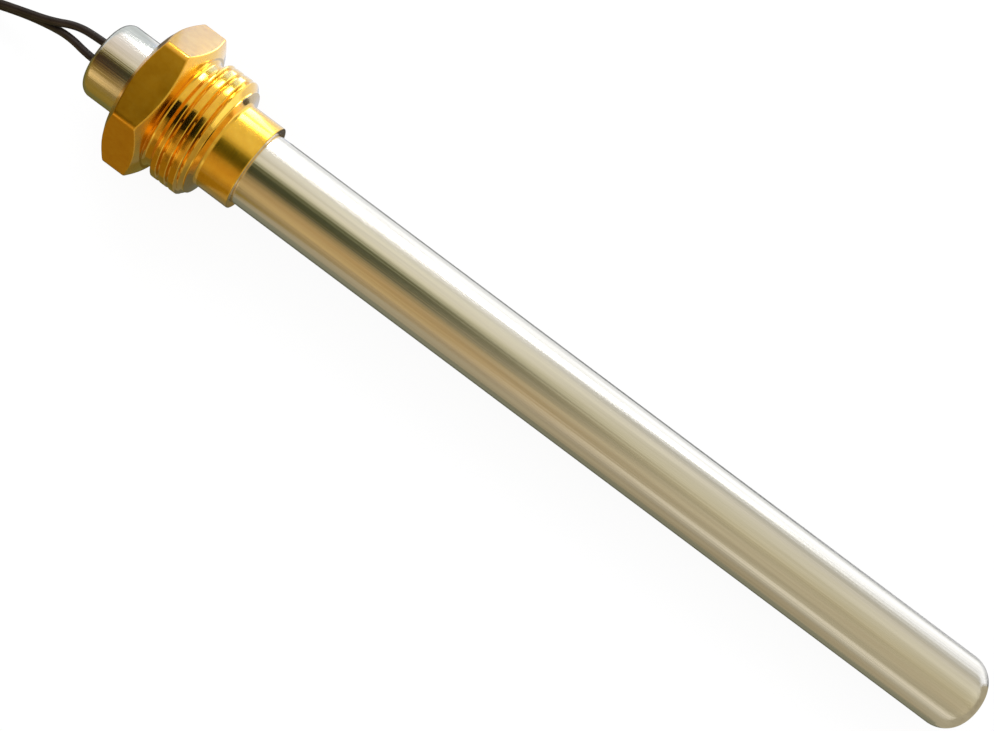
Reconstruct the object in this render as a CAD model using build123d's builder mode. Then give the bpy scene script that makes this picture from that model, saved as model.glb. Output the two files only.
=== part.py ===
"""Screw-in cartridge igniter of a pellet stove, lying as it comes to rest.

Millimetres, +Z up. The heater's axis runs towards +X and dips to the tip, because the part
lies on one flat of its hexagon and on the edge of its tip. The origin is on the surface that
it lies on, under the middle of its length. Stations along the heater are measured from the
hexagon's front face, positive towards the tip.
"""

import os
from math import asin, atan2, cos, hypot, pi, radians, sin, tan

from build123d import *

os.makedirs("parts", exist_ok=True)

# Sheath
sheath_radius = 4.95
sheath_inner_radius = 4.35
tail_radius = 5.12
tail_round = 1.3
tail_lip = 0.6
tip_station = 119.0
tip_round = 3.5
tail_length = 6.0

# Brass fitting
across_flats = 18.0
hex_thickness = 5.5
hex_chamfer_angle = 27.0
hex_back_radius = 7.8
seat_width = 0.3
relief_depth = 0.075
relief_chamfer = 0.4
neck_length = 1.0
thread_radius = 8.331
thread_depth = 0.856
thread_length = 5.0
collar_radius = 5.9
collar_length = 5.1
collar_chamfer = 0.4
bore_clearance = 0.02

# Heating element
tip_disc_thickness = 3.0
tip_insulator_thickness = 1.5
core_radius = 2.6
core_length = 75.0
wire_width = 1.0
wire_thickness = 0.4
winding_pitch = 10.0
winding_margin = 4.0
winding_clearance = 0.02
pin_radius = 0.6
pin_clearance = 0.05
pin_spacing = 2.4
short_pin_depth = 6.0
pin_end_station = 0.5
spacer_back_station = 6.0
insert_clearance = 0.02

# Lead connections
lead_diameter = 1.0
crimp_radius = 0.95
crimp_length = 7.0
sleeve_wall = 0.18
sleeve_clearance = 0.02
sleeve_overhang = 1.0
lead_hole_clearance = 0.05
plug_length = 4.5
straight_exit = 2.3
cement_thickness = 1.5

# Spare lead, folded into a hank and tied
hank_near_x = -95.0
hank_run = 18.0
hank_y = 1.5
hank_outer_bend = 6.0
hank_pitch = 1.05
hank_columns = 3
entry_length = 3.7
ferrule_radius = 0.625
ferrule_length = 6.0
ferrule_gap = 0.03
ferrule_height = 0.75
ferrule_back = 11.5
ferrule_chamfer = 0.2
tie_thickness = 0.4
tie_width = 3.0
tie_clearance = 0.05
tie_corner = 0.6
twist_radius = 0.6
twist_length = 6.0
twist_y = 4.5
run_share = 0.45

# Stations and radii that follow from the sizes above
tail_station = -hex_thickness - tail_length
collar_station = neck_length + thread_length + collar_length
disc_station = tip_station - tip_disc_thickness
core_front = disc_station - tip_insulator_thickness
core_back = core_front - core_length
thread_root_radius = thread_radius - thread_depth
neck_radius = thread_root_radius - relief_depth
hex_seat_radius = neck_radius + relief_chamfer + seat_width
hex_corner_radius = across_flats / 2 / cos(radians(30))
chamfer_slope = tan(radians(hex_chamfer_angle))
front_chamfer = (hex_corner_radius - hex_seat_radius) * chamfer_slope
back_chamfer = (hex_corner_radius - hex_back_radius) * chamfer_slope
plug_face = tail_station + tail_lip
plug_front = plug_face + plug_length
insert_radius = sheath_inner_radius - insert_clearance
lead_radius = lead_diameter / 2

# Resting slope: the flat's front edge and the rounded tip edge both touch the surface
flat_edge_station = -(across_flats / 2 - hex_seat_radius) * chamfer_slope
round_station = tip_station - tip_round
tail_lip_radius = tail_radius - tail_round
reach = round_station - flat_edge_station
drop = across_flats / 2 - (sheath_radius - tip_round)
slope = atan2(drop, reach) - asin(tip_round / hypot(reach, drop))
axis_height = across_flats / 2 * cos(slope) + flat_edge_station * sin(slope)
tip_x = round_station * cos(slope) + (sheath_radius - tip_round) * sin(slope) + tip_round
tail_x = (tail_station + tail_round) * cos(slope) - tail_lip_radius * sin(slope) - tail_round
hex_x = -(tip_x + tail_x) / 2

along = Vector(cos(slope), 0, -sin(slope))
heater_axis = Axis((hex_x, 0, axis_height), along)
# Profiles are drawn here: x along the heater from the hexagon's front face, y outwards
profile = Plane(origin=(hex_x, 0, axis_height), x_dir=along, z_dir=(0, -1, 0))


def across(station):
    """Plane square to the heater at a station, with x sideways and y up."""
    return Plane(origin=profile.from_local_coords((station, 0)), x_dir=(0, 1, 0), z_dir=along)


def save(piece, name):
    """Label a finished piece and write it under its own name."""
    piece.part.label = name
    export_step(piece.part, f"parts/{name}.step")


# Steel sheath: larger from the tail to the fitting's end, tail rolled in, tip edge rounded
with BuildPart() as sheath_tube:
    with BuildSketch(profile):
        with BuildLine():
            RadiusArc(
                (tail_station, tail_lip_radius),
                (tail_station + tail_round, tail_radius),
                tail_round,
            )
            Polyline(
                (tail_station + tail_round, tail_radius),
                (collar_station, tail_radius),
                (collar_station, sheath_radius),
                (tip_station, sheath_radius),
                (tip_station, sheath_inner_radius),
                (plug_face, sheath_inner_radius),
                (plug_face, tail_lip_radius),
                (tail_station, tail_lip_radius),
            )
        make_face()
    revolve(axis=heater_axis)
    with BuildSketch(profile) as tip_corner:
        with Locations((round_station, sheath_radius - tip_round)):
            Rectangle(tip_round, tip_round, align=(Align.MIN, Align.MIN))
            Circle(tip_round, mode=Mode.SUBTRACT)
    revolve(axis=heater_axis, mode=Mode.SUBTRACT)
save(sheath_tube, "sheath_tube")

# Welded end piece, ground to the same rounded edge
with BuildPart() as tip_disc:
    with BuildSketch(profile):
        with Locations((disc_station, 0)):
            Rectangle(tip_disc_thickness, sheath_inner_radius, align=(Align.MIN, Align.MIN))
    revolve(axis=heater_axis)
    add(tip_corner.sketch)
    revolve(axis=heater_axis, mode=Mode.SUBTRACT)
save(tip_disc, "tip_disc")

# Brass screw fitting: chamfered hexagon, relief, thread blank, collar and plain bore
with BuildPart() as brass_fitting:
    with BuildSketch(across(-hex_thickness)):
        RegularPolygon(across_flats / 2, 6, major_radius=False)
    extrude(amount=hex_thickness)
    with BuildSketch(profile):
        with BuildLine():
            Polyline(
                (-hex_thickness, 0),
                (-hex_thickness, hex_back_radius),
                (-hex_thickness + back_chamfer, hex_corner_radius),
                (-front_chamfer, hex_corner_radius),
                (0, hex_seat_radius),
                (0, 0),
                close=True,
            )
        make_face()
    revolve(axis=heater_axis, mode=Mode.INTERSECT)
    thread_end = neck_length + thread_length
    with BuildSketch(profile):
        with BuildLine():
            Polyline(
                (0, 0),
                (0, neck_radius + relief_chamfer),
                (relief_chamfer, neck_radius),
                (neck_length, neck_radius),
                (neck_length, thread_root_radius),
                (neck_length + thread_depth / 2, thread_radius),
                (thread_end - thread_depth, thread_radius),
                (thread_end, thread_root_radius),
                (thread_end, collar_radius),
                (collar_station - collar_chamfer, collar_radius),
                (collar_station, collar_radius - collar_chamfer),
                (collar_station, 0),
                close=True,
            )
        make_face()
    revolve(axis=heater_axis)
    with BuildSketch(profile):
        with Locations((-hex_thickness, 0)):
            Rectangle(
                hex_thickness + collar_station,
                tail_radius + bore_clearance,
                align=(Align.MIN, Align.MIN),
            )
    revolve(axis=heater_axis, mode=Mode.SUBTRACT)
save(brass_fitting, "brass_fitting")

# Mica disc between the hot winding and the welded end
with BuildPart() as tip_insulator:
    with BuildSketch(across(core_front)):
        Circle(insert_radius)
    extrude(amount=tip_insulator_thickness)
save(tip_insulator, "tip_insulator")

# Ceramic core with two bores for the terminal pins
with BuildPart() as ceramic_core:
    with BuildSketch(across(core_back)):
        Circle(core_radius)
        with GridLocations(pin_spacing, 0, 2, 1):
            Circle(pin_radius + pin_clearance, mode=Mode.SUBTRACT)
    extrude(amount=core_length)
save(ceramic_core, "ceramic_core")

# Flat resistance wire, wound as an open helix on the core
winding_start = across(core_back + winding_margin)
winding_radius = core_radius + winding_clearance + wire_thickness / 2
with BuildPart() as heating_wire:
    with BuildLine() as winding:
        Helix(
            pitch=winding_pitch,
            height=core_length - 2 * winding_margin,
            radius=winding_radius,
            center=winding_start.origin,
            direction=along,
        )
    outward = (winding.line @ 0) - winding_start.origin
    with BuildSketch(Plane(origin=winding.line @ 0, x_dir=outward, z_dir=winding.line % 0)):
        Rectangle(wire_thickness, wire_width)
    sweep(path=winding.line, is_frenet=True)
save(heating_wire, "heating_wire")

# Pressed magnesia between the winding and the sheath
with BuildPart() as magnesia_fill:
    with BuildSketch(across(core_back)):
        Circle(insert_radius)
        Circle(winding_radius + wire_thickness / 2 + winding_clearance, mode=Mode.SUBTRACT)
    extrude(amount=core_length)
save(magnesia_fill, "magnesia_fill")

# Ceramic spacer that carries the pins through the cold end
with BuildPart() as rear_spacer:
    with BuildSketch(across(spacer_back_station)):
        Circle(insert_radius)
        with GridLocations(pin_spacing, 0, 2, 1):
            Circle(pin_radius + pin_clearance, mode=Mode.SUBTRACT)
    extrude(amount=core_back - spacer_back_station)
save(rear_spacer, "rear_spacer")

# Ceramic end plug with a hole for each lead, held by the sheath's rolled end
with BuildPart() as end_plug:
    with BuildSketch(across(plug_face)):
        Circle(insert_radius)
        with GridLocations(pin_spacing, 0, 2, 1):
            Circle(lead_radius + lead_hole_clearance, mode=Mode.SUBTRACT)
    extrude(amount=plug_length)
save(end_plug, "end_plug")

# Cement poured in front of the plug round the leads
with BuildPart() as cement_seal:
    with BuildSketch(across(plug_front)):
        Circle(insert_radius)
        with GridLocations(pin_spacing, 0, 2, 1):
            Circle(lead_radius + lead_hole_clearance, mode=Mode.SUBTRACT)
    extrude(amount=cement_thickness)
save(cement_seal, "cement_seal")

# One pin reaches the near end of the winding, the other its far end
pin_fronts = {1: core_back + short_pin_depth, 2: core_front - winding_margin}
crimp_back = pin_end_station - crimp_length / 2
sleeve_radius = crimp_radius + sleeve_clearance
for number, side in ((1, -1), (2, 1)):
    pin_y = side * pin_spacing / 2
    with BuildPart() as terminal_pin:
        with BuildSketch(across(pin_end_station)):
            with Locations((pin_y, 0)):
                Circle(pin_radius)
        extrude(amount=pin_fronts[number] - pin_end_station)
    save(terminal_pin, f"terminal_pin_{number}")

    with BuildPart() as crimp:
        with BuildSketch(across(crimp_back)):
            with Locations((pin_y, 0)):
                Circle(crimp_radius)
                Circle(pin_radius + insert_clearance, mode=Mode.SUBTRACT)
        extrude(amount=crimp_length)
    save(crimp, f"crimp_{number}")

    with BuildPart() as insulating_sleeve:
        with BuildSketch(across(crimp_back - sleeve_overhang)):
            with Locations((pin_y, 0)):
                Circle(sleeve_radius + sleeve_wall)
                Circle(sleeve_radius, mode=Mode.SUBTRACT)
        extrude(amount=crimp_length + sleeve_overhang)
    save(insulating_sleeve, f"insulating_sleeve_{number}")

# Free leads: straight out of the plug, then down to the hank in a loose curve
entry_x = hank_near_x + entry_length
entry_y = hank_y - hank_outer_bend
first_layer = tie_thickness + lead_radius
lead_routes = {
    1: [
        (-70.2, -0.7, 8.5),
        (-73.9, -0.85, 5.4),
        (-78.3, -1.5, 2.95),
        (-83.2, -2.85, 1.5),
        (-88.0, -4.5, 0.9),
    ],
    2: [
        (-70.2, 0.95, 8.95),
        (-73.9, -0.45, 6.75),
        (-78.3, -1.45, 4.55),
        (-83.2, -2.75, 2.95),
        (-88.0, -4.5, 1.9),
    ],
}


def bend_radii(points):
    """Radius of each arc of a route, from its shorter run and its turn."""
    radii = []
    for before, corner, after in zip(points, points[1:], points[2:]):
        run_in = Vector(corner) - Vector(before)
        run_out = Vector(after) - Vector(corner)
        half_turn = radians(run_in.get_angle(run_out)) / 2
        radii.append(run_share * min(run_in.length, run_out.length) / tan(half_turn))
    return radii


root_start = pin_end_station - insert_clearance
for number, side in ((1, -1), (2, 1)):
    lead_y = side * pin_spacing / 2
    with BuildPart() as lead_root:
        with BuildSketch(across(plug_face)):
            with Locations((lead_y, 0)):
                Circle(lead_radius)
        extrude(amount=root_start - plug_face)
    save(lead_root, f"lead_{number}_root")

    layer_height = first_layer + (number - 1) * lead_diameter
    points = [
        tuple(across(plug_face).from_local_coords((lead_y, 0))),
        tuple(across(plug_face - straight_exit).from_local_coords((lead_y, 0))),
        *lead_routes[number],
        (entry_x, entry_y, layer_height),
    ]
    with BuildPart() as lead:
        with BuildLine() as route:
            FilletPolyline(*points, radius=bend_radii(points))
        with BuildSketch(Plane(origin=route.line @ 0, z_dir=route.line % 0)):
            Circle(lead_radius)
        sweep(path=route.line)
    save(lead, f"lead_{number}")
    free_length = route.wire().length
    volume_ratio = lead.part.volume / (free_length * pi * lead_radius**2)
    print(f"lead_{number}: {free_length:.1f} mm free, volume ratio {volume_ratio:.4f}")
    print("  bend radii", [round(radius, 1) for radius in bend_radii(points)])
    print("  route", [tuple(round(value, 2) for value in point) for point in points])

# Hank: each lead is one layer of flat turns round two bends, its ferrule in the hollow
hank_x = hank_near_x - hank_run / 2
hank_width = 2 * hank_outer_bend + lead_diameter
last_bend = hank_outer_bend - (hank_columns - 0.5) * hank_pitch
last_bend_y = hank_y + hank_pitch / 2
hollow_width = 2 * last_bend - lead_diameter
ferrule_x = hank_near_x - ferrule_back
ferrule_y = last_bend_y - last_bend + (ferrule_radius - lead_radius)
ferrule_heights = {
    1: ferrule_height,
    2: ferrule_height + 2 * ferrule_radius + ferrule_gap,
}
for number in (1, 2):
    layer_floor = tie_thickness + (number - 1) * lead_diameter
    with BuildPart() as lead_hank:
        with BuildSketch(Plane.XY.offset(layer_floor)):
            with Locations((hank_x, hank_y)):
                SlotCenterToCenter(hank_run, hank_width)
            with Locations((hank_near_x, entry_y)):
                Rectangle(entry_length, lead_diameter, align=(Align.MIN, Align.CENTER))
            with Locations((hank_x, last_bend_y)):
                SlotCenterToCenter(hank_run, hollow_width, mode=Mode.SUBTRACT)
            with Locations((ferrule_x, ferrule_y)):
                Rectangle(
                    hank_run - ferrule_back,
                    2 * (ferrule_radius + ferrule_gap),
                    align=(Align.MAX, Align.CENTER),
                    mode=Mode.SUBTRACT,
                )
        extrude(amount=lead_diameter)
    save(lead_hank, f"lead_{number}_hank")

    with BuildPart() as ferrule:
        with BuildSketch(Plane((ferrule_x, ferrule_y, ferrule_heights[number]), z_dir=(-1, 0, 0))):
            Circle(ferrule_radius)
        extrude(amount=ferrule_length)
        chamfer(ferrule.edges().sort_by(Axis.X)[0], ferrule_chamfer)
    save(ferrule, f"lead_{number}_ferrule")

# Twist tie round the waist of the hank, its twisted end lying on the turns
hank_height = 2 * lead_diameter
twist_height = tie_thickness + hank_height + twist_radius
with BuildPart() as hank_tie:
    with BuildSketch(Plane((hank_x - tie_width / 2, hank_y, 0), x_dir=(0, 1, 0), z_dir=(1, 0, 0))):
        with Locations((0, tie_thickness + hank_height / 2)):
            RectangleRounded(
                hank_width + 2 * (tie_clearance + tie_thickness),
                hank_height + 2 * tie_thickness,
                tie_corner,
            )
            Rectangle(hank_width + 2 * tie_clearance, hank_height, mode=Mode.SUBTRACT)
    extrude(amount=tie_width)
    with BuildSketch(Plane((hank_x, hank_y + twist_y, twist_height), z_dir=(-1, 0, 0))):
        Circle(twist_radius)
    extrude(amount=tie_width / 2 + twist_length)
save(hank_tie, "hank_tie")
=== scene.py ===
"""Looks of the pellet stove igniter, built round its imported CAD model.

Sizes are written in millimetres, as in part.py, and every mesh is made in metres. The heater's
own pieces are drawn in its frame: x along its axis from the hexagon's front face towards the
tip, y sideways and z up, away from the surface that it lies on.
"""

from math import atan2, cos, pi, radians, sin, sqrt, tan

import bmesh
import bpy
from mathutils import Matrix, Vector


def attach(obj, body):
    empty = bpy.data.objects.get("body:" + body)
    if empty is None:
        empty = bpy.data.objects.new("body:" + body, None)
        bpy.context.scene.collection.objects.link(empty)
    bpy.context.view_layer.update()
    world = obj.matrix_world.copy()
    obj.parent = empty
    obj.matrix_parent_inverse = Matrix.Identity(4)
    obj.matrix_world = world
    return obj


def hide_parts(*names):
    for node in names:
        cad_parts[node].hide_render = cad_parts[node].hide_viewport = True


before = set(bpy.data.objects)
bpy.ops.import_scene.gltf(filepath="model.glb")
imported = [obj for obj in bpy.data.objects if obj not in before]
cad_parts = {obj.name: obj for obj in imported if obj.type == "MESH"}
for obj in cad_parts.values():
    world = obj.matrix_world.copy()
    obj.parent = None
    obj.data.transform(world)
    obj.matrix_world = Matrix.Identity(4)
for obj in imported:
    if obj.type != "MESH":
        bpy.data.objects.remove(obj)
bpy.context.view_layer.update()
scene = bpy.context.scene
MM = 0.001

# ---------------------------------------------------------------- place of the heater
slope = radians(1.999262)
axis_height = 8.978523
hex_x = -53.67661
heater = Matrix(
    (
        (cos(slope), 0, sin(slope), hex_x * MM),
        (0, 1, 0, 0),
        (-sin(slope), 0, cos(slope), axis_height * MM),
        (0, 0, 0, 1),
    )
)

# ---------------------------------------------------------------- camera of the photograph
IMAGE_WIDTH = 994
focal_px = 1693.8
camera_place = Vector((1.271, -8.370, 210.783)) * MM
turn = radians(36.787)
right = Vector((cos(turn), sin(turn), 0))
up = Vector((-sin(turn), cos(turn), 0))
forward = Vector((0, 0, -1))
pitch = Matrix.Rotation(radians(2.627), 3, right)
up = pitch @ up
forward = pitch @ forward
yaw = Matrix.Rotation(radians(0.323), 3, up)
right = yaw @ right
forward = yaw @ forward

camera_data = bpy.data.cameras.new("camera")
camera_data.sensor_fit = "HORIZONTAL"
camera_data.sensor_width = 36.0
camera_data.lens = 36.0 * focal_px / IMAGE_WIDTH
camera_data.clip_start = 0.01
camera = bpy.data.objects.new("camera", camera_data)
scene.collection.objects.link(camera)
camera_axes = Matrix((right, up, -forward)).transposed().to_4x4()
camera.matrix_world = Matrix.Translation(camera_place) @ camera_axes
scene.camera = camera
scene.view_settings.view_transform = "Standard"


# ---------------------------------------------------------------- mesh helpers
def mesh_piece(name, points, faces, matrix=None, sharp=35):
    """A smooth-shaded mesh object from points in millimetres, its sharp edges kept."""
    mesh = bpy.data.meshes.new(name)
    mesh.from_pydata([Vector(point) * MM for point in points], [], faces)
    work = bmesh.new()
    work.from_mesh(mesh)
    bmesh.ops.recalc_face_normals(work, faces=work.faces)
    work.to_mesh(mesh)
    work.free()
    mesh.shade_smooth()
    mesh.set_sharp_from_angle(angle=radians(sharp))
    piece = bpy.data.objects.new(name, mesh)
    scene.collection.objects.link(piece)
    if matrix is not None:
        piece.matrix_world = matrix
    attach(piece, "root")
    return piece


def ring_faces(rings, sides, closed, first=0):
    """Faces between rings of points that follow each other: a closed loop, or a tube with ends."""
    faces = []
    for ring in range(rings if closed else rings - 1):
        here = first + ring * sides
        there = first + (ring + 1) % rings * sides
        for side in range(sides):
            after = (side + 1) % sides
            faces.append((here + side, here + after, there + after, there + side))
    if not closed:
        last = first + (rings - 1) * sides
        faces.append(tuple(range(first, first + sides))[::-1])
        faces.append(tuple(range(last, last + sides)))
    return faces


def rounded(corners, steps=6):
    """Points of a profile whose corners (x, r, radius) are rounded by arcs of equal counts."""
    points = []
    last = len(corners) - 1
    for index, (x, y, radius) in enumerate(corners):
        if radius == 0 or index in (0, last):
            points.append((x, y))
            continue
        before = Vector(corners[index - 1][:2]) - Vector((x, y))
        after = Vector(corners[index + 1][:2]) - Vector((x, y))
        reach = min(radius, 0.45 * before.length, 0.45 * after.length)
        start = Vector((x, y)) + before.normalized() * reach
        end = Vector((x, y)) + after.normalized() * reach
        for step in range(steps + 1):
            t = step / steps
            point = start * (1 - t) ** 2 + Vector((x, y)) * 2 * t * (1 - t) + end * t**2
            points.append((point.x, point.y))
    return points


def arc(centre, radius, start, end, steps):
    """Points on an arc of a profile, angles in degrees from the axis's direction."""
    return [
        (
            centre[0] + radius * cos(radians(start + (end - start) * step / steps)),
            centre[1] + radius * sin(radians(start + (end - start) * step / steps)),
        )
        for step in range(steps + 1)
    ]


def lathe(name, profile, sides=192, closed=True, matrix=heater):
    """A turned piece: its closed profile of (x, r) points taken round the axis."""
    points = []
    for x, r in profile:
        for side in range(sides):
            angle = 2 * pi * side / sides
            points.append((x, r * sin(angle), r * cos(angle)))
    return mesh_piece(name, points, ring_faces(len(profile), sides, closed), matrix)


# ---------------------------------------------------------------- leads
lead_radius = 0.5
lead_routes = {
    1: [
        (-64.57, -1.2, 9.36),
        (-66.87, -1.2, 9.44),
        (-70.2, -0.7, 8.5),
        (-73.9, -0.85, 5.4),
        (-78.3, -1.5, 2.95),
        (-83.2, -2.85, 1.5),
        (-88.0, -4.5, 0.9),
        (-91.3, -4.5, 0.9),
    ],
    2: [
        (-64.57, 1.2, 9.36),
        (-66.87, 1.2, 9.44),
        (-70.2, 0.95, 8.95),
        (-73.9, -0.45, 6.75),
        (-78.3, -1.45, 4.55),
        (-83.2, -2.75, 2.95),
        (-88.0, -4.5, 1.9),
        (-91.3, -4.5, 1.9),
    ],
}
layer_heights = {1: 0.9, 2: 1.9}
ferrule_heights = {1: 0.75, 2: 2.03}
ferrule_face = -106.5
ferrule_y = -1.225
lead_straight = 4.5
lead_in_ferrule = 0.7
hank_columns = 3
hank_column_pitch = 1.05
far_bend = (-113.0, 1.5, 6.0)
near_bend = (-95.0, 2.025, 5.475)
bend_steps = 6


def hank_points(height):
    """Control points of one flat layer of turns, spiralling inwards from bend to bend."""
    half_step = pi / bend_steps / 2
    points = []
    for column in range(hank_columns):
        for side, (centre_x, centre_y, outer) in ((-1, far_bend), (1, near_bend)):
            radius = (outer - column * hank_column_pitch) / cos(half_step)
            for step in range(bend_steps):
                angle = half_step * (2 * step + 1)
                points.append(
                    (
                        centre_x + side * radius * sin(angle),
                        centre_y + side * radius * cos(angle),
                        height,
                    )
                )
    return points


leads = {}
for number, route in lead_routes.items():
    end_height = ferrule_heights[number]
    control_points = [
        *route,
        *hank_points(layer_heights[number]),
        (ferrule_face + lead_straight, ferrule_y, end_height),
        (ferrule_face - lead_in_ferrule, ferrule_y, end_height),
    ]
    curve = bpy.data.curves.new(f"lead_wire_{number}", "CURVE")
    curve.dimensions = "3D"
    curve.resolution_u = 16
    curve.bevel_depth = 1.0
    curve.bevel_resolution = 7
    curve.use_fill_caps = True
    spline = curve.splines.new("NURBS")
    spline.points.add(len(control_points) - 1)
    for point, place in zip(spline.points, control_points):
        point.co = (*(Vector(place) * MM), 1)
        point.radius = lead_radius * MM
    spline.order_u = 3
    spline.use_endpoint_u = True
    leads[number] = bpy.data.objects.new(f"lead_wire_{number}", curve)
    scene.collection.objects.link(leads[number])
    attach(leads[number], "root")
    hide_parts(f"lead_{number}", f"lead_{number}_hank")


# ---------------------------------------------------------------- crimped end sleeves
def ferrule_radius(station, angle):
    """Outer radius of a crimped end sleeve: round mouth, squared crimp with cross grooves."""
    mouth, mouth_radius, body_radius = 0.9, 0.62, 0.6
    crimp_start, crimp_end, crimp_slope, crimp_half_width = 1.5, 5.2, 0.35, 0.535
    groove_pitch, groove_height = 0.74, 0.035
    base = mouth_radius if station < mouth else body_radius
    squareness = 0.0
    if crimp_start < station < crimp_end:
        from_end = min(station - crimp_start, crimp_end - station)
        squareness = min(1.0, from_end / crimp_slope)
    square = min(crimp_half_width / max(abs(cos(angle)), abs(sin(angle))), mouth_radius)
    groove = groove_height * (0.5 - 0.5 * cos(2 * pi * (station - crimp_start) / groove_pitch))
    return base * (1 - squareness) + (square - groove) * squareness


ferrule_sides = 64
ferrule_rim = 0.08
ferrule_rim_inset = 0.02
ferrule_mouth = [(0.9, 0.505), (0.25, 0.505), (0.08, 0.535), (0.0, 0.58)]
ferrule_body = [0.0, 0.03, ferrule_rim] + [0.15 + 0.07 * step for step in range(83)]
ferrule_tail = [(5.96, 0.57), (6.0, 0.5), (6.0, 0.46), (5.92, 0.43)]
circle = [2 * pi * side / ferrule_sides for side in range(ferrule_sides)]
rings = [(station, [radius] * ferrule_sides) for station, radius in ferrule_mouth]
for station in ferrule_body:
    inset = ferrule_rim_inset if station < ferrule_rim else 0.0
    rings.append((station, [ferrule_radius(station, angle) - inset for angle in circle]))
rings += [(station, [radius] * ferrule_sides) for station, radius in ferrule_tail]
ferrule_points = [
    (-station, radius * sin(angle), radius * cos(angle))
    for station, radii in rings
    for radius, angle in zip(radii, circle)
]
ferrule_faces = ring_faces(len(rings), ferrule_sides, closed=False)
ferrules = {}
for number, height in ferrule_heights.items():
    place = Matrix.Translation(Vector((ferrule_face, ferrule_y, height)) * MM)
    ferrules[number] = mesh_piece(f"ferrule_{number}", ferrule_points, ferrule_faces, place)
    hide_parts(f"lead_{number}_ferrule")

# ---------------------------------------------------------------- twist tie
tie_x = -104.0
tie_half_width = 1.5
tie_centre = (1.5, 1.4)
tie_half_size = (6.76, 1.22)
tie_corner = 0.5
corner_steps = 8
ribbon_steps = 24
ribbon_outside = 0.11
ribbon_inside = -0.15
ribbon_edge = 0.02
wire_height = 0.07
wire_half_width = 0.28
points = []
loop = []
for corner, (side_y, side_z) in enumerate(((1, 1), (-1, 1), (-1, -1), (1, -1))):
    corner_y = tie_centre[0] + side_y * (tie_half_size[0] - tie_corner)
    corner_z = tie_centre[1] + side_z * (tie_half_size[1] - tie_corner)
    for step in range(corner_steps + 1):
        angle = radians(90 * corner + 90 * step / corner_steps)
        loop.append(
            (
                corner_y + tie_corner * cos(angle),
                corner_z + tie_corner * sin(angle),
                cos(angle),
                sin(angle),
            )
        )
ribbon = []
for step in range(ribbon_steps + 1):
    across = -1 + 2 * step / ribbon_steps
    wire = wire_height * max(0.0, 1 - (across / wire_half_width) ** 2)
    ribbon.append((across * tie_half_width, ribbon_outside + wire))
for step in range(ribbon_steps + 1):
    across = 1 - 2 * step / ribbon_steps
    ribbon.append((across * (tie_half_width - ribbon_edge), ribbon_inside))
for loop_y, loop_z, out_y, out_z in loop:
    for offset_x, offset in ribbon:
        points.append((tie_x + offset_x, loop_y + out_y * offset, loop_z + out_z * offset))
faces = ring_faces(len(loop), len(ribbon), closed=True)
strand_sides = 24
strand_steps = 120
strand_half_size = (0.17, 0.42)
strand_offset = 0.27
strand_offset_up = 0.3
flare_start = 0.88
flare = 0.35
twist_y, twist_z = 6.0, 3.02
twist_start = 0.9
twist_length = 8.2
twist_turns = 3.25
for strand in range(2):
    first = len(points)
    for step in range(strand_steps + 1):
        t = step / strand_steps
        winding = 2 * pi * twist_turns * t + pi * strand
        spread = strand_offset + flare * max(0.0, (t - flare_start) / (1 - flare_start)) ** 2
        centre_y = twist_y + spread * cos(winding)
        centre_z = twist_z + min(spread, strand_offset_up) * sin(winding)
        for side in range(strand_sides):
            angle = 2 * pi * side / strand_sides
            along_y = strand_half_size[0] * cos(angle)
            along_z = strand_half_size[1] * sin(angle)
            points.append(
                (
                    tie_x + twist_start - twist_length * t,
                    centre_y + along_y * cos(winding) - along_z * sin(winding),
                    centre_z + along_y * sin(winding) + along_z * cos(winding),
                )
            )
    faces += ring_faces(strand_steps + 1, strand_sides, closed=False, first=first)
twist_tie = mesh_piece("twist_tie", points, faces)
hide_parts("hank_tie")

# ---------------------------------------------------------------- steel sheath and its tip
sheath_radius = 4.95
sheath_bore = 4.35
tail_radius = 5.12
tail_round = 1.3
tail_station = -11.5
plug_face = -10.9
collar_station = 11.1
tip_station = 119.0
tip_round = 3.5
round_station = tip_station - tip_round
tip_centre = sheath_radius - tip_round
weld_station = round_station + sqrt(tip_round**2 - (sheath_bore - tip_centre) ** 2)
weld_angle = 55.95
weld_depth = 0.3
rod_steps = 24
end_plate_station = 116.0
end_plate_gap = 0.01
cap_centre = 0.05
cap_steps = 8
# The photo shows brass up to the rod, so the step hides deeper in the collar than in the CAD
step_station = collar_station - 1.05

tail_arc = arc((tail_station + tail_round, tail_radius - tail_round), tail_round, 180, 90, 16)
step_up = [
    (step_station - 0.05, tail_radius),
    (step_station - 0.01, tail_radius - 0.02),
    (step_station, tail_radius - 0.05),
    (step_station, sheath_radius),
    (collar_station, sheath_radius),
]
rod_run = [
    (collar_station + (round_station - collar_station) * step / rod_steps, sheath_radius)
    for step in range(1, rod_steps)
]
tip_arc = arc((round_station, tip_centre), tip_round, 90, weld_angle, 14)
tip_arc[-1] = (weld_station, sheath_bore)
sheath = lathe(
    "sheath",
    [
        *tail_arc,
        *step_up,
        *rod_run,
        *tip_arc,
        (weld_station - weld_depth, sheath_bore),
        (0, sheath_bore),
        (plug_face, sheath_bore),
        (plug_face, tail_radius - tail_round),
    ],
    sides=256,
)
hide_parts("sheath_tube")

end_arc = arc((round_station, tip_centre), tip_round, weld_angle, 0, 24)
end_arc[0] = (weld_station, sheath_bore)
end_face = [(tip_station, tip_centre * (1 - step / cap_steps)) for step in range(1, cap_steps)]
end_cap = lathe(
    "end_cap",
    [
        (end_plate_station, cap_centre),
        (end_plate_station, sheath_bore - end_plate_gap),
        *end_arc,
        *end_face,
        (tip_station, cap_centre),
    ],
    sides=256,
    closed=False,
)
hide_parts("tip_disc")

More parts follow.
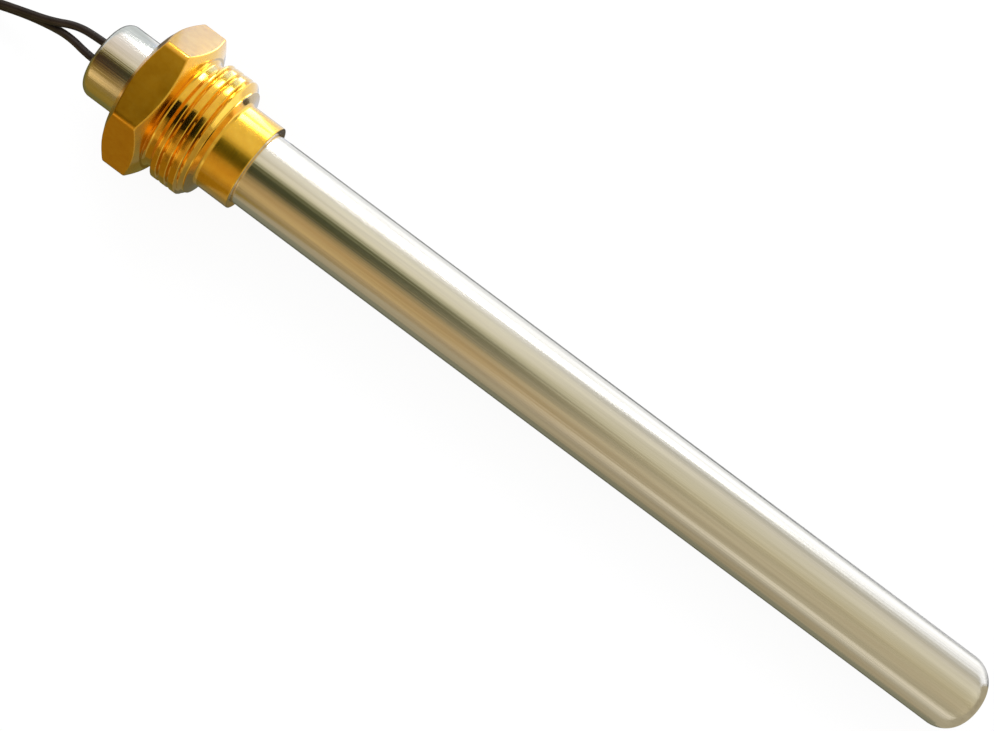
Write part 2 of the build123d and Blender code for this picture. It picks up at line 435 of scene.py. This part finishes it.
# ---------------------------------------------------------------- brass screw fitting
half_flats = 9.0
hex_thickness = 5.5
hex_corner_round = 0.8
hex_back_radius = 7.8
hex_seat_radius = 8.1
chamfer_slope = tan(radians(27))
neck_radius = 7.4
neck_end = 1.0
thread_root = 7.475
thread_crest = 8.25
groove_depth = 0.5
groove_half_width = 0.2
thread_end = 6.0
thread_pitch = 1.337
thread_phase = 0.25
thread_crown = 0.05
thread_inset = 0.03
groove_floor = 0.06
run_in_slope = 1.5
run_out_slope = 1.35
collar_radius = 5.9
bore_radius = 5.14
lip_station = collar_station - 1.0
lip_radius = sheath_radius + 0.02
hex_sides = 360
thread_steps = 84


def hexagon_radius(angle):
    """Distance from the axis to the hexagon's side, its corners rounded."""
    from_flat = (angle + pi / 6) % (pi / 3) - pi / 6
    from_corner = pi / 6 - abs(from_flat)
    centre = (half_flats - hex_corner_round) / cos(pi / 6)
    reach = atan2(hex_corner_round * sin(pi / 6), centre + hex_corner_round * cos(pi / 6))
    if from_corner >= reach:
        return half_flats / cos(from_flat)
    return centre * cos(from_corner) + sqrt(hex_corner_round**2 - (centre * sin(from_corner)) ** 2)


def thread_radius(station, angle):
    """Radius of the right-handed thread: broad crests, narrow rounded grooves, chamfered ends."""
    phase = station / thread_pitch - angle / (2 * pi) + thread_phase
    offset = abs((phase + 0.5) % 1.0 - 0.5)
    crown = thread_crest - thread_crown * (offset - 0.5) ** 2
    flank = thread_crest - groove_depth + groove_depth * offset / groove_half_width
    form = soft_minimum(crown, max(flank, thread_crest - groove_depth + groove_floor), 0.05)
    start = neck_radius + (station - neck_end - 0.05) * run_in_slope
    end = thread_root - 0.35 + (thread_end - station) * run_out_slope
    return max(soft_minimum(soft_minimum(form, start, 0.06), end, 0.2), neck_radius)


def soft_minimum(first, second, soft):
    """The lower of two radii, the corner between them rounded."""
    gap = first - second
    if gap > soft:
        return second
    if gap < -soft:
        return first
    return first - (gap + soft) ** 2 / (4 * soft)


def fitting_profile(angle):
    """Closed profile of the fitting at one angle round its axis, the same count at each."""
    side = hexagon_radius(angle)
    back = -hex_thickness + (side - hex_back_radius) * chamfer_slope
    front = -(side - hex_seat_radius) * chamfer_slope
    outside = rounded(
        [
            (-hex_thickness, bore_radius + 0.15, 0),
            (-hex_thickness, hex_back_radius, 0.25),
            (back, side, 0.16),
            (front, side, 0.16),
            (0, hex_seat_radius, 0.2),
            (0, neck_radius + 0.35, 0.15),
            (0.3, neck_radius, 0.15),
            (neck_end, neck_radius, 0),
        ]
    )
    thread = []
    for step in range(thread_steps):
        share = step / (thread_steps - 1)
        station = neck_end + thread_inset + (thread_end - neck_end - 2 * thread_inset) * share
        thread.append((station, thread_radius(station, angle)))
    collar = rounded(
        [
            (thread_end, thread_root - 0.4, 0),
            (thread_end + 0.35, collar_radius, 0.4),
            (collar_station, collar_radius, 0.14),
            (collar_station, lip_radius + 0.05, 0),
        ]
    )
    bore = [
        (collar_station - 0.05, lip_radius),
        (lip_station, lip_radius),
        (lip_station, bore_radius),
        (0, bore_radius),
        (-hex_thickness + 0.15, bore_radius),
    ]
    return outside + thread + collar + bore


points = []
profiles = [fitting_profile(2 * pi * side / hex_sides) for side in range(hex_sides)]
ring_count = len(profiles[0])
for ring in range(ring_count):
    for side, profile in enumerate(profiles):
        angle = 2 * pi * side / hex_sides
        x, r = profile[ring]
        points.append((x, -r * sin(angle), r * cos(angle)))
faces = [face[::-1] for face in ring_faces(ring_count, hex_sides, closed=True)]
fitting = mesh_piece("screw_fitting", points, faces, heater, sharp=50)
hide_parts("brass_fitting")


# ---------------------------------------------------------------- materials
def linear(colour):
    """Linear values of a display colour."""
    return tuple(
        value / 12.92 if value <= 0.04045 else ((value + 0.055) / 1.055) ** 2.4 for value in colour
    )


class Nodes:
    """A material's node tree with short calls for the nodes that these materials use."""

    def __init__(self, name):
        self.material = bpy.data.materials.new(name)
        self.material.use_nodes = True
        self.tree = self.material.node_tree
        self.shader = self.tree.nodes["Principled BSDF"]
        self.place = self.add("ShaderNodeTexCoord").outputs["Object"]

    def add(self, kind, **settings):
        """A new node with its settings."""
        node = self.tree.nodes.new(kind)
        for key, value in settings.items():
            setattr(node, key, value)
        return node

    def link(self, source, target):
        self.tree.links.new(source, target)

    def scaled(self, scale):
        """Object coordinates multiplied by a scale for each axis."""
        mapping = self.add("ShaderNodeMapping")
        mapping.inputs["Scale"].default_value = scale
        self.link(self.place, mapping.inputs["Vector"])
        return mapping.outputs["Vector"]

    def noise(self, scale, detail=3.0, roughness=0.55):
        """Noise with a scale for each axis, in cycles a metre."""
        node = self.add("ShaderNodeTexNoise")
        node.inputs["Scale"].default_value = 1.0
        node.inputs["Detail"].default_value = detail
        node.inputs["Roughness"].default_value = roughness
        self.link(self.scaled(scale), node.inputs["Vector"])
        return node.outputs["Fac"]

    def ramp(self, source, stops):
        """A colour ramp with stops of (position, linear colour)."""
        node = self.add("ShaderNodeValToRGB")
        elements = node.color_ramp.elements
        while len(elements) < len(stops):
            elements.new(0.5)
        for element, (position, colour) in zip(elements, stops):
            element.position = position
            element.color = (*colour, 1)
        self.link(source, node.inputs["Fac"])
        return node.outputs["Color"]

    def span(self, source, low, high, start=0.0, end=1.0):
        """A value from start to end taken to the range from low to high."""
        node = self.add("ShaderNodeMapRange")
        node.inputs["From Min"].default_value = start
        node.inputs["From Max"].default_value = end
        node.inputs["To Min"].default_value = low
        node.inputs["To Max"].default_value = high
        self.link(source, node.inputs["Value"])
        return node.outputs["Result"]

    def bump(self, height, distance, below=None):
        """A bump of a height in metres, over another bump if there is one."""
        node = self.add("ShaderNodeBump")
        node.inputs["Distance"].default_value = distance
        node.inputs["Strength"].default_value = 1.0
        self.link(height, node.inputs["Height"])
        if below is not None:
            self.link(below, node.inputs["Normal"])
        return node.outputs["Normal"]

    def finish(self, colour, roughness, normal, metallic=0.0, specular=0.5):
        """The finished material."""
        inputs = self.shader.inputs
        self.link(colour, inputs["Base Color"])
        self.link(roughness, inputs["Roughness"])
        self.link(normal, inputs["Normal"])
        inputs["Metallic"].default_value = metallic
        inputs["Specular IOR Level"].default_value = specular
        return self.material


def dress(material, *targets):
    """Give a material to pieces or to CAD nodes by name."""
    for target in targets:
        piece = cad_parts[target] if isinstance(target, str) else target
        piece.data.materials.clear()
        piece.data.materials.append(material)


def steel_material():
    """Polished stainless steel with fine streaks along the heater."""
    nodes = Nodes("polished_steel")
    fine = nodes.noise((7, 5200, 5200), detail=4)
    broad = nodes.noise((10, 1500, 1500), detail=3)
    tone = nodes.noise((16, 800, 800), detail=4)
    colour = nodes.ramp(
        tone,
        [
            (0.3, linear((0.85, 0.84, 0.81))),
            (0.5, linear((0.91, 0.905, 0.89))),
            (0.7, linear((0.96, 0.955, 0.94))),
        ],
    )
    roughness = nodes.span(broad, 0.13, 0.22, 0.3, 0.7)
    coarse = nodes.bump(broad, 0.000018)
    normal = nodes.bump(fine, 0.000018, below=coarse)
    return nodes.finish(colour, roughness, normal, metallic=1.0)


def along_fitting(station):
    """Place on a ramp that runs from 10 mm behind the hexagon's front face to 10 mm past it."""
    return (station + 10) / 20


def brass_material():
    """Polished, lightly lacquered brass: turned rings, and a duller finish on the hexagon."""
    hexagon_roughness, thread_roughness, collar_roughness = 0.31, 0.12, 0.22
    nodes = Nodes("polished_brass")
    mottle = nodes.noise((900, 900, 900), detail=5, roughness=0.6)
    turned = nodes.noise((6500, 120, 120), detail=3)
    drawn = nodes.noise((60, 2600, 2600), detail=3)
    cloud = nodes.noise((240, 240, 240), detail=4)
    drawn_bar = nodes.ramp(
        mottle,
        [(0.30, (0.88, 0.43, 0.010)), (0.50, (0.94, 0.49, 0.018)), (0.72, (0.98, 0.55, 0.035))],
    )
    fresh_cut = nodes.ramp(
        mottle,
        [(0.30, (0.89, 0.49, 0.012)), (0.50, (0.95, 0.55, 0.022)), (0.72, (0.98, 0.60, 0.040))],
    )
    parts = nodes.add("ShaderNodeSeparateXYZ")
    nodes.link(nodes.place, parts.inputs["Vector"])
    colour_mix = nodes.add("ShaderNodeMix", data_type="RGBA")
    nodes.link(
        nodes.span(parts.outputs["X"], 0.0, 1.0, -0.0011, -0.0003), colour_mix.inputs["Factor"]
    )
    nodes.link(drawn_bar, colour_mix.inputs[6])
    nodes.link(fresh_cut, colour_mix.inputs[7])
    colour = colour_mix.outputs[2]
    gloss = nodes.span(cloud, -0.04, 0.04, 0.3, 0.7)
    finish = nodes.ramp(
        nodes.span(parts.outputs["X"], 0.0, 1.0, -0.01, 0.01),
        [
            (along_fitting(-0.6), (hexagon_roughness,) * 3),
            (along_fitting(-0.1), (thread_roughness,) * 3),
            (along_fitting(5.8), (thread_roughness,) * 3),
            (along_fitting(6.4), (collar_roughness,) * 3),
        ],
    )
    roughness = nodes.add("ShaderNodeMath", operation="ADD")
    nodes.link(gloss, roughness.inputs[0])
    nodes.link(finish, roughness.inputs[1])
    coarse = nodes.bump(mottle, 0.000006)
    lines = nodes.bump(drawn, 0.000005, below=coarse)
    normal = nodes.bump(turned, 0.000004, below=lines)
    nodes.shader.inputs["Coat Weight"].default_value = 1.0
    nodes.shader.inputs["Coat IOR"].default_value = 1.6
    nodes.shader.inputs["Coat Roughness"].default_value = 0.12
    return nodes.finish(colour, roughness.outputs["Value"], normal, metallic=1.0)


def insulation_material():
    """Dark satin insulation of the leads, with a fine grain."""
    nodes = Nodes("dark_insulation")
    grain = nodes.noise((1800, 1800, 1800), detail=4)
    cloud = nodes.noise((260, 260, 260), detail=3)
    colour = nodes.ramp(
        cloud,
        [(0.3, (0.010, 0.006, 0.005)), (0.6, (0.022, 0.014, 0.012)), (0.8, (0.034, 0.024, 0.020))],
    )
    roughness = nodes.span(grain, 0.34, 0.50, 0.3, 0.7)
    return nodes.finish(colour, roughness, nodes.bump(grain, 0.000012), specular=0.4)


def grainy_material(name, dark, pale, scale, depth, rough, metallic=0.0):
    """A plain matt or satin material with a fine grain in colour, gloss and bump."""
    nodes = Nodes(name)
    grain = nodes.noise(scale, detail=5)
    cloud = nodes.noise(tuple(value / 6 for value in scale), detail=3)
    colour = nodes.ramp(cloud, [(0.3, linear(dark)), (0.7, linear(pale))])
    roughness = nodes.span(grain, rough[0], rough[1], 0.3, 0.7)
    return nodes.finish(colour, roughness, nodes.bump(grain, depth), metallic=metallic)


steel = steel_material()
brass = brass_material()
insulation = insulation_material()
ceramic = grainy_material(
    "white_ceramic", (0.80, 0.78, 0.73), (0.90, 0.88, 0.84), (2600,) * 3, 0.00003, (0.6, 0.85)
)
plug_ceramic = grainy_material(
    "plug_ceramic", (0.78, 0.75, 0.69), (0.88, 0.86, 0.80), (2600,) * 3, 0.00003, (0.6, 0.85)
)
magnesia = grainy_material(
    "pressed_magnesia", (0.82, 0.80, 0.77), (0.92, 0.91, 0.88), (4200,) * 3, 0.00004, (0.8, 0.95)
)
mica = grainy_material(
    "mica", (0.62, 0.56, 0.45), (0.78, 0.72, 0.61), (6000, 500, 500), 0.00002, (0.35, 0.6)
)
cement = grainy_material(
    "cement", (0.62, 0.60, 0.56), (0.76, 0.74, 0.70), (2200,) * 3, 0.00006, (0.8, 0.95)
)
glass_fibre = grainy_material(
    "glass_fibre", (0.74, 0.70, 0.60), (0.88, 0.85, 0.77), (3400, 2200, 2200), 0.00005, (0.6, 0.8)
)
nickel = grainy_material(
    "drawn_nickel",
    (0.62, 0.60, 0.56),
    (0.74, 0.72, 0.68),
    (60, 4000, 4000),
    0.00001,
    (0.25, 0.4),
    1.0,
)
nickel_chrome = grainy_material(
    "resistance_wire", (0.45, 0.43, 0.41), (0.60, 0.58, 0.55), (900,) * 3, 0.00001, (0.35, 0.5), 1.0
)
tinned_copper = grainy_material(
    "tinned_copper", (0.66, 0.66, 0.64), (0.80, 0.80, 0.78), (1500,) * 3, 0.00001, (0.2, 0.38), 1.0
)
tie_plastic = grainy_material(
    "tie_plastic", (0.045, 0.045, 0.05), (0.09, 0.09, 0.095), (2400,) * 3, 0.00002, (0.4, 0.6)
)

dress(steel, sheath, end_cap)
dress(brass, fitting)
dress(insulation, *leads.values(), "lead_1_root", "lead_2_root")
dress(tinned_copper, *ferrules.values())
dress(tie_plastic, twist_tie)
dress(ceramic, "ceramic_core", "rear_spacer")
dress(plug_ceramic, "end_plug")
dress(magnesia, "magnesia_fill")
dress(mica, "tip_insulator")
dress(cement, "cement_seal")
dress(glass_fibre, "insulating_sleeve_1", "insulating_sleeve_2")
dress(nickel, "terminal_pin_1", "terminal_pin_2", "crimp_1", "crimp_2")
dress(nickel_chrome, "heating_wire")


# ---------------------------------------------------------------- stage: floor, cards, sky, lamp
def math_node(tree, operation, first, second):
    """A math node on outputs or plain numbers."""
    node = tree.nodes.new("ShaderNodeMath")
    node.operation = operation
    for socket, value in zip(node.inputs, (first, second)):
        if isinstance(value, (int, float)):
            socket.default_value = value
        else:
            tree.links.new(value, socket)
    return node.outputs["Value"]


def emission_plane(name, corners, colour, strength):
    """A flat card seen only in reflections."""
    mesh = bpy.data.meshes.new(name)
    mesh.from_pydata([Vector(corner) * MM for corner in corners], [], [(0, 1, 2, 3)])
    card = bpy.data.objects.new(name, mesh)
    scene.collection.objects.link(card)
    material = bpy.data.materials.new(name)
    material.use_nodes = True
    tree = material.node_tree
    tree.nodes.clear()
    emission = tree.nodes.new("ShaderNodeEmission")
    emission.inputs["Color"].default_value = (*linear(colour), 1)
    emission.inputs["Strength"].default_value = strength
    output = tree.nodes.new("ShaderNodeOutputMaterial")
    tree.links.new(emission.outputs["Emission"], output.inputs["Surface"])
    mesh.materials.append(material)
    card.visible_camera = False
    card.visible_diffuse = False
    card.visible_shadow = False
    card.visible_transmission = False


floor_mesh = bpy.data.meshes.new("floor")
floor_size = 3.0
floor_mesh.from_pydata(
    [
        (-floor_size, -floor_size, 0),
        (floor_size, -floor_size, 0),
        (floor_size, floor_size, 0),
        (-floor_size, floor_size, 0),
    ],
    [],
    [(0, 1, 2, 3)],
)
floor = bpy.data.objects.new("floor", floor_mesh)
scene.collection.objects.link(floor)
floor_material = bpy.data.materials.new("floor")
floor_material.use_nodes = True
tree = floor_material.node_tree
tree.nodes.clear()
# Rays from the camera, metal or glass see mostly white paper; the rest of it takes the shadow
GLOWING_SHARE = 0.88
PAPER_GLOW = 1.03
PAPER_SHADE = 0.9
path = tree.nodes.new("ShaderNodeLightPath")
seen = math_node(tree, "MAXIMUM", path.outputs["Is Camera Ray"], path.outputs["Is Glossy Ray"])
seen = math_node(tree, "MAXIMUM", seen, path.outputs["Is Transmission Ray"])
share = math_node(tree, "MULTIPLY", seen, GLOWING_SHARE)
paper = tree.nodes.new("ShaderNodeBsdfDiffuse")
paper.inputs["Color"].default_value = (PAPER_SHADE, PAPER_SHADE, PAPER_SHADE, 1)
glow = tree.nodes.new("ShaderNodeEmission")
glow.inputs["Strength"].default_value = PAPER_GLOW
mix = tree.nodes.new("ShaderNodeMixShader")
output = tree.nodes.new("ShaderNodeOutputMaterial")
tree.links.new(share, mix.inputs["Fac"])
tree.links.new(paper.outputs["BSDF"], mix.inputs[1])
tree.links.new(glow.outputs["Emission"], mix.inputs[2])
tree.links.new(mix.outputs["Shader"], output.inputs["Surface"])
floor_mesh.materials.append(floor_material)

# Cards and sky are written as the shades that the steel shows, and are brighter by what it takes
STEEL_SHADE = 0.8
CARD_HEIGHT = 0.15
FAR = 2900


def strip(x_from, x_to, near, far, narrowing=0.0):
    """Corners of a flat strip along the heater, drawn towards it by a share at its tip end."""
    keep = 1 - narrowing
    return [
        (x_from, near, CARD_HEIGHT),
        (x_to, near * keep, CARD_HEIGHT),
        (x_to, far * keep, CARD_HEIGHT),
        (x_from, far, CARD_HEIGHT),
    ]


# The dark near strips beside the heater and the strip under it are painted shadow: they stand in
# for the heater's own shadow on the floor, as its reflections show it.
cards = (
    ("shadow_card_tail_near", strip(-FAR, -49, -5.6, -9), (0.34, 0.30, 0.12), 1.0),
    ("card_tail_middle", strip(-FAR, -49, -9, -20), (0.40, 0.37, 0.19), 1.0),
    ("card_tail_front", strip(-FAR, -49, -20, -FAR), (0.50, 0.40, 0.13), 1.0),
    ("shadow_card_rod_near", strip(-49, 66, -5.6, -11, 0.35), (0.36, 0.36, 0.30), 1.0),
    ("card_rod_middle", strip(-49, 66, -11, -22, 0.35), (0.47, 0.46, 0.38), 1.0),
    ("card_rod_front", strip(-49, 66, -22, -FAR, 0.35), (0.61, 0.56, 0.45), 1.0),
    ("shadow_card_under", strip(-FAR, 72, -5.6, 4), (0.42, 0.38, 0.25), 1.0),
    ("shadow_card_back_near_tail", strip(-FAR, -61, 4, 10), (0.30, 0.30, 0.30), 1.0),
    ("card_back_near_fitting", strip(-61, -43, 4, 10), (0.72, 0.74, 0.78), 1.0),
    ("shadow_card_back_near_rod", strip(-43, 80, 4, 10), (0.30, 0.30, 0.30), 1.0),
    ("card_back_tail", strip(-FAR, -66, 10, FAR), (0.76, 0.78, 0.78), 1.0),
    ("card_back_middle", strip(-66, 80, 10, 21, 0.4), (0.87, 0.87, 0.87), 1.0),
    ("card_back_fitting", strip(-66, -56, 21, FAR), (0.68, 0.77, 1.0), 1.6),
    ("card_back_collar", strip(-56, -49, 21, FAR), (1.0, 0.97, 0.93), 4.5),
    ("card_back_rod", strip(-49, 80, 21, FAR, 0.4), (1.0, 1.0, 1.0), 1.02),
    (
        "card_tip",
        [(66, -FAR, 0.16), (FAR, -FAR, 0.16), (FAR, 2200, 0.16), (66, 2, 0.16)],
        (0.62, 0.58, 0.48),
        1.0,
    ),
    (
        "card_over_thread",
        [(-60, -15, 47), (-54, -15, 47), (-54, 8, 47), (-60, 8, 47)],
        (0.03, 0.01, 0.0),
        1.0,
    ),
)
for name, corners, shade, strength in cards:
    emission_plane(name, corners, shade, strength / STEEL_SHADE)

# Sky seen in reflections. Each ramp goes round the heater: 0.25 is level on its -Y side, 0.5
# overhead and 0.75 level on its +Y side.
sky_over_tail = [
    (0.17, (0.40, 0.36, 0.18)),
    (0.24, (0.58, 0.49, 0.25)),
    (0.29, (0.54, 0.43, 0.17)),
    (0.31, (0.86, 0.72, 0.46)),
    (0.345, (0.86, 0.72, 0.46)),
    (0.365, (0.55, 0.44, 0.18)),
    (0.41, (0.36, 0.25, 0.03)),
    (0.445, (0.20, 0.11, 0.0)),
    (0.492, (0.18, 0.11, 0.0)),
    (0.522, (0.50, 0.44, 0.20)),
    (0.545, (0.77, 0.71, 0.60)),
    (0.60, (0.80, 0.75, 0.69)),
    (0.655, (0.87, 0.83, 0.79)),
    (0.70, (0.95, 0.94, 0.94)),
    (0.75, (0.90, 0.92, 0.92)),
]
sky_over_rod = [
    (0.22, (0.55, 0.53, 0.42)),
    (0.265, (0.58, 0.49, 0.34)),
    (0.313, (0.70, 0.59, 0.38)),
    (0.357, (0.69, 0.56, 0.35)),
    (0.400, (0.64, 0.53, 0.33)),
    (0.420, (0.44, 0.38, 0.20)),
    (0.440, (0.25, 0.24, 0.09)),
    (0.475, (0.18, 0.20, 0.07)),
    (0.510, (0.25, 0.26, 0.12)),
    (0.530, (0.60, 0.58, 0.43)),
    (0.552, (0.80, 0.77, 0.65)),
    (0.593, (0.83, 0.80, 0.72)),
    (0.640, (0.81, 0.79, 0.70)),
    (0.680, (0.86, 0.84, 0.80)),
    (0.72, (0.95, 0.95, 0.95)),
]
sky_over_tip = [
    (0.23, (0.58, 0.56, 0.49)),
    (0.264, (0.67, 0.64, 0.56)),
    (0.295, (0.78, 0.74, 0.65)),
    (0.313, (0.88, 0.84, 0.75)),
    (0.335, (0.66, 0.62, 0.51)),
    (0.357, (0.61, 0.57, 0.46)),
    (0.400, (0.70, 0.65, 0.53)),
    (0.450, (0.71, 0.66, 0.54)),
    (0.467, (0.60, 0.56, 0.43)),
    (0.485, (0.70, 0.65, 0.52)),
    (0.515, (0.74, 0.70, 0.58)),
    (0.600, (0.78, 0.75, 0.66)),
    (0.645, (0.80, 0.77, 0.70)),
    (0.680, (0.63, 0.61, 0.55)),
    (0.725, (0.82, 0.81, 0.78)),
]
world = bpy.data.worlds.new("studio")
scene.world = world
world.use_nodes = True
tree = world.node_tree
tree.nodes.clear()


def world_ramp(source, stops):
    """A colour ramp of the sky."""
    node = tree.nodes.new("ShaderNodeValToRGB")
    elements = node.color_ramp.elements
    while len(elements) < len(stops):
        elements.new(0.5)
    for element, (position, colour) in zip(elements, stops):
        element.position = position
        element.color = (*linear(colour), 1)
    tree.links.new(source, node.inputs["Fac"])
    return node.outputs["Color"]


def world_step(source, start, end):
    """A smooth step of the sky from 0 to 1."""
    node = tree.nodes.new("ShaderNodeMapRange")
    node.interpolation_type = "SMOOTHSTEP"
    node.inputs["From Min"].default_value = start
    node.inputs["From Max"].default_value = end
    tree.links.new(source, node.inputs["Value"])
    return node.outputs["Result"]


def world_mix(factor, first, second):
    """A mix of two colours of the sky."""
    node = tree.nodes.new("ShaderNodeMix")
    node.data_type = "RGBA"
    tree.links.new(factor, node.inputs[0])
    tree.links.new(first, node.inputs[6])
    tree.links.new(second, node.inputs[7])
    return node.outputs[2]


def background(strength, colour=None):
    """White or coloured light of the sky, its strength an output or a plain number."""
    node = tree.nodes.new("ShaderNodeBackground")
    if isinstance(strength, (int, float)):
        node.inputs["Strength"].default_value = strength
    else:
        tree.links.new(strength, node.inputs["Strength"])
    if colour is None:
        node.inputs["Color"].default_value = (1, 1, 1, 1)
    else:
        tree.links.new(colour, node.inputs["Color"])
    return node.outputs["Background"]


# Where the reflections of the heater's parts lie in the sky, as the X of their direction
TAIL_TO_ROD = (-0.198, -0.182)
ROD_TO_TIP = (-0.06, 0.16)
LOW_BRASS_FROM = (-0.238, -0.226)
LOW_THREAD_TO_COLLAR = (-0.202, -0.192)
LOW_COLLAR_TO_ROD = (-0.180, -0.172)
SOFTBOX_FROM = (-0.225, -0.207)
SOFTBOX_FITTING_TO_ROD = (-0.152, -0.132)
# Round the heater, as on the ramps
LOW_SIDE_TO = (0.44, 0.47)
SOFTBOX_EDGE = 0.722
SOFTBOX_LEAN = 0.12
SOFTBOX_BLUR = (-0.008, 0.006)
SOFTBOX_STRENGTH = 12.0
SOFTBOX_DROP = 9.2
THREAD_SHADE = 0.5
COLLAR_SHADE = 0.25
DIFFUSE_SKY = 0.85

direction = tree.nodes.new("ShaderNodeTexCoord").outputs["Generated"]
parts = tree.nodes.new("ShaderNodeSeparateXYZ")
tree.links.new(direction, parts.inputs["Vector"])
lengthwise = parts.outputs["X"]
# Half this angle is the side that a surface facing it has turned to
raised = math_node(tree, "ADD", parts.outputs["Z"], 1.0)
turned = math_node(tree, "ARCTAN2", parts.outputs["Y"], raised)
round_share = math_node(tree, "ADD", math_node(tree, "DIVIDE", turned, pi), 0.5)
near_sky = world_mix(
    world_step(lengthwise, *TAIL_TO_ROD),
    world_ramp(round_share, sky_over_tail),
    world_ramp(round_share, sky_over_rod),
)
sky = world_mix(
    world_step(lengthwise, *ROD_TO_TIP), near_sky, world_ramp(round_share, sky_over_tip)
)

# The brass shows a darker room on its -Y side, most of all in the thread
low_side = math_node(tree, "SUBTRACT", 1.0, world_step(round_share, *LOW_SIDE_TO))
brass_side = math_node(tree, "MULTIPLY", world_step(lengthwise, *LOW_BRASS_FROM), low_side)
past_thread = world_step(lengthwise, *LOW_THREAD_TO_COLLAR)
past_collar = world_step(lengthwise, *LOW_COLLAR_TO_ROD)
lighter = math_node(
    tree,
    "ADD",
    math_node(tree, "MULTIPLY", past_thread, THREAD_SHADE - COLLAR_SHADE),
    math_node(tree, "MULTIPLY", past_collar, COLLAR_SHADE),
)
shade_depth = math_node(tree, "SUBTRACT", THREAD_SHADE, lighter)
shade = math_node(tree, "SUBTRACT", 1.0, math_node(tree, "MULTIPLY", brass_side, shade_depth))

# A bright softbox stands low on the +Y side, from the fitting to the tip
edge = math_node(
    tree, "ADD", math_node(tree, "MULTIPLY", lengthwise, SOFTBOX_LEAN), SOFTBOX_EDGE
)
softbox = math_node(
    tree,
    "MULTIPLY",
    world_step(math_node(tree, "SUBTRACT", round_share, edge), *SOFTBOX_BLUR),
    world_step(lengthwise, *SOFTBOX_FROM),
)
over_rod = world_step(lengthwise, *SOFTBOX_FITTING_TO_ROD)
softbox_drop = math_node(tree, "MULTIPLY", over_rod, SOFTBOX_DROP)
softbox_strength = math_node(tree, "SUBTRACT", SOFTBOX_STRENGTH, softbox_drop)

reflected = background(math_node(tree, "DIVIDE", shade, STEEL_SHADE), sky)
softbox_light = background(math_node(tree, "MULTIPLY", softbox, softbox_strength))
all_reflected = tree.nodes.new("ShaderNodeAddShader")
tree.links.new(reflected, all_reflected.inputs[0])
tree.links.new(softbox_light, all_reflected.inputs[1])
path = tree.nodes.new("ShaderNodeLightPath")
glossy_mix = tree.nodes.new("ShaderNodeMixShader")
tree.links.new(path.outputs["Is Glossy Ray"], glossy_mix.inputs["Fac"])
tree.links.new(background(DIFFUSE_SKY), glossy_mix.inputs[1])
tree.links.new(all_reflected.outputs["Shader"], glossy_mix.inputs[2])
camera_mix = tree.nodes.new("ShaderNodeMixShader")
tree.links.new(path.outputs["Is Camera Ray"], camera_mix.inputs["Fac"])
tree.links.new(glossy_mix.outputs["Shader"], camera_mix.inputs[1])
tree.links.new(background(1.0), camera_mix.inputs[2])
output = tree.nodes.new("ShaderNodeOutputWorld")
tree.links.new(camera_mix.outputs["Shader"], output.inputs["Surface"])

lamp_data = bpy.data.lights.new("soft_lamp", "AREA")
lamp_data.shape = "RECTANGLE"
lamp_data.size = 0.5
lamp_data.size_y = 0.25
lamp_data.energy = 1.2
lamp = bpy.data.objects.new("soft_lamp", lamp_data)
lamp.visible_glossy = False
scene.collection.objects.link(lamp)
lamp_place = Vector((-0.12, 0.35, 0.32))
lamp_aim = (-lamp_place).to_track_quat("-Z", "Y").to_matrix().to_4x4()
lamp.matrix_world = Matrix.Translation(lamp_place) @ lamp_aim
